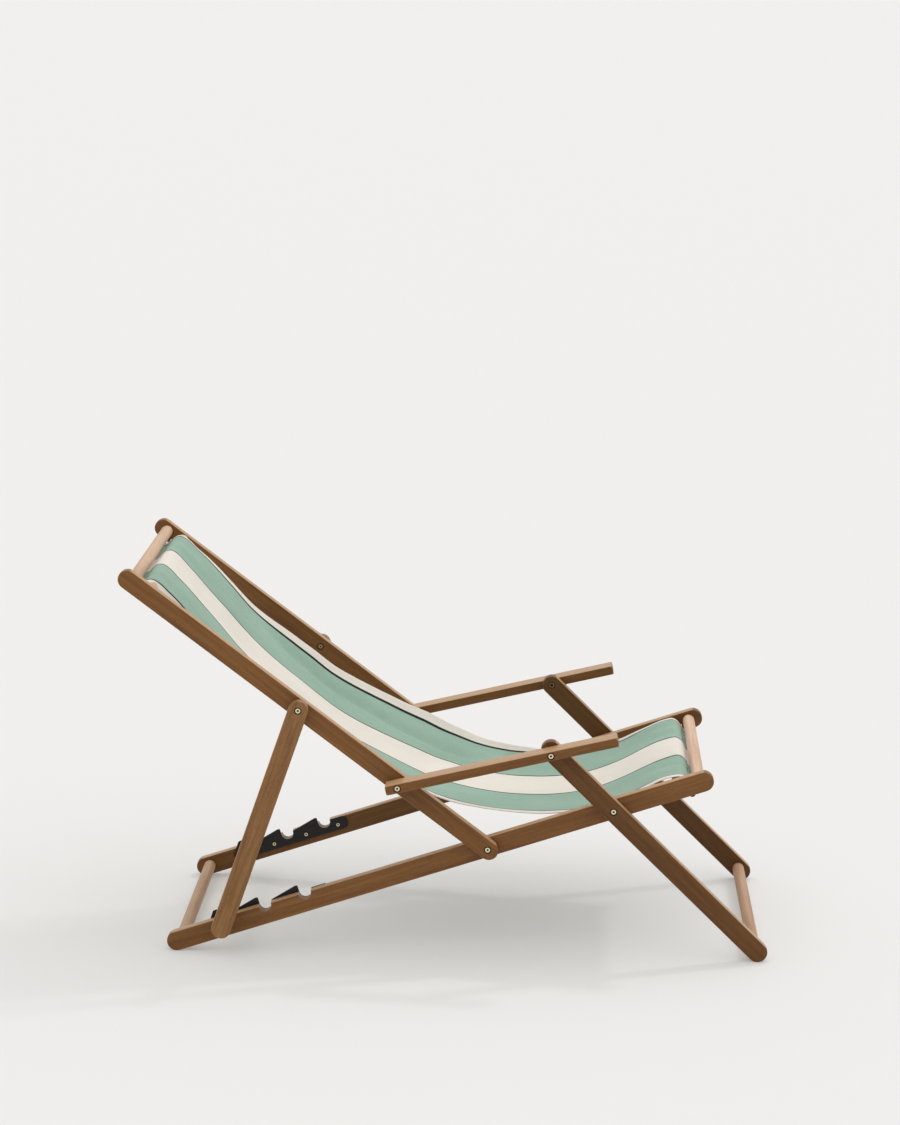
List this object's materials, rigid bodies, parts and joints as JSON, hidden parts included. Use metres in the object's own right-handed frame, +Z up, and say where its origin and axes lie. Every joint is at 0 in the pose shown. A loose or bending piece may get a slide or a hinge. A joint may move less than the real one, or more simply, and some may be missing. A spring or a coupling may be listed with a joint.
{
  "type": "folding deck chair with armrests",
  "caption": "Folding wooden beach chair with armrests, a striped canvas sling, and a back that reclines on a notched metal rack.",
  "frame": {"origin": "on the floor, under the middle of the open chair's length and width", "axes": "+X to the front of the seat, +Y to the sitter's left, +Z up; the chair stands open in its most reclined notch"},
  "size_m": [1.2979, 0.6672, 0.7895],
  "materials": {
    "dark_wood": "oiled, satin",
    "pale_wood": "unfinished, matt",
    "canvas": "woven cotton canvas, matt, green and off-white stripes",
    "rack_metal": "black powder coat",
    "brass_fittings": "brass-plated, satin",
    "steel": "darkened steel",
    "black_plastic": "matt"
  },
  "bodies": {
    "seat_frame": {"seat_rail_l": "dark_wood", "rack_l": "rack_metal", "rack_screw_l_1": "brass_fittings", "rack_screw_l_2": "brass_fittings", "rack_screw_l_3": "brass_fittings", "rack_screw_l_4": "brass_fittings", "bolt_back_l": "brass_fittings", "nut_back_l": "steel", "nut_leg_l": "steel", "seat_rail_r": "dark_wood", "rack_r": "rack_metal", "rack_screw_r_1": "brass_fittings", "rack_screw_r_2": "brass_fittings", "rack_screw_r_3": "brass_fittings", "rack_screw_r_4": "brass_fittings", "bolt_back_r": "brass_fittings", "nut_back_r": "steel", "nut_leg_r": "steel", "rung_rear": "pale_wood", "rung_front": "pale_wood", "rung_seat_sling": "pale_wood", "sling_seat": "canvas", "rod_seat": "steel", "rod_cap_seat_l": "black_plastic", "rod_cap_seat_r": "black_plastic"},
    "back_frame": {"back_rail_l": "dark_wood", "bolt_prop_l": "brass_fittings", "nut_prop_l": "steel", "nut_arm_rear_l": "steel", "back_rail_r": "dark_wood", "bolt_prop_r": "brass_fittings", "nut_prop_r": "steel", "nut_arm_rear_r": "steel", "rung_top": "pale_wood", "rung_back_sling": "pale_wood", "sling_back": "canvas", "rod_back": "steel", "rod_cap_back_l": "black_plastic", "rod_cap_back_r": "black_plastic"},
    "leg_frame": {"leg_l": "dark_wood", "bolt_leg_l": "brass_fittings", "nut_arm_front_l": "steel", "leg_r": "dark_wood", "bolt_leg_r": "brass_fittings", "nut_arm_front_r": "steel", "rung_foot": "pale_wood"},
    "prop_frame": {"prop_strut_l": "dark_wood", "prop_strut_r": "dark_wood", "rung_prop": "pale_wood"},
    "armrest_left": {"armrest_l": "dark_wood", "bolt_arm_rear_l": "brass_fittings", "bolt_arm_front_l": "brass_fittings"},
    "armrest_right": {"armrest_r": "dark_wood", "bolt_arm_rear_r": "brass_fittings", "bolt_arm_front_r": "brass_fittings"}
  },
  "joints": [
    {"name": "back_recline", "type": "hinge", "parent": "seat_frame", "child": "back_frame", "pos_m": [0.08557, 0, 0.22644], "axis": [0, 1, 0], "range_deg": [-55.39, 12.46]},
    {"name": "leg_fold", "type": "hinge", "parent": "seat_frame", "child": "leg_frame", "pos_m": [0.33645, 0, 0.30865], "axis": [0, 1, 0], "range_deg": [-62.8, 14.2]},
    {"name": "armrest_left_hinge", "type": "hinge", "parent": "back_frame", "child": "armrest_left", "pos_m": [-0.09353, 0, 0.36264], "axis": [0, 1, 0], "range_deg": [-11.4, 50.4]},
    {"name": "armrest_right_hinge", "type": "hinge", "parent": "back_frame", "child": "armrest_right", "pos_m": [-0.09353, 0, 0.36264], "axis": [0, 1, 0], "range_deg": [-11.4, 50.4]},
    {"name": "prop_swing", "type": "hinge", "parent": "back_frame", "child": "prop_frame", "pos_m": [-0.29173, 0, 0.51336], "axis": [0, -1, 0], "range_deg": [-107, 0]}
  ],
  "couplings": [
    {"joint": "leg_fold", "follows": "back_recline", "ratio": 1.1329},
    {"joint": "armrest_left_hinge", "follows": "back_recline", "ratio": -0.9076},
    {"joint": "armrest_right_hinge", "follows": "back_recline", "ratio": -0.9076}
  ]
}
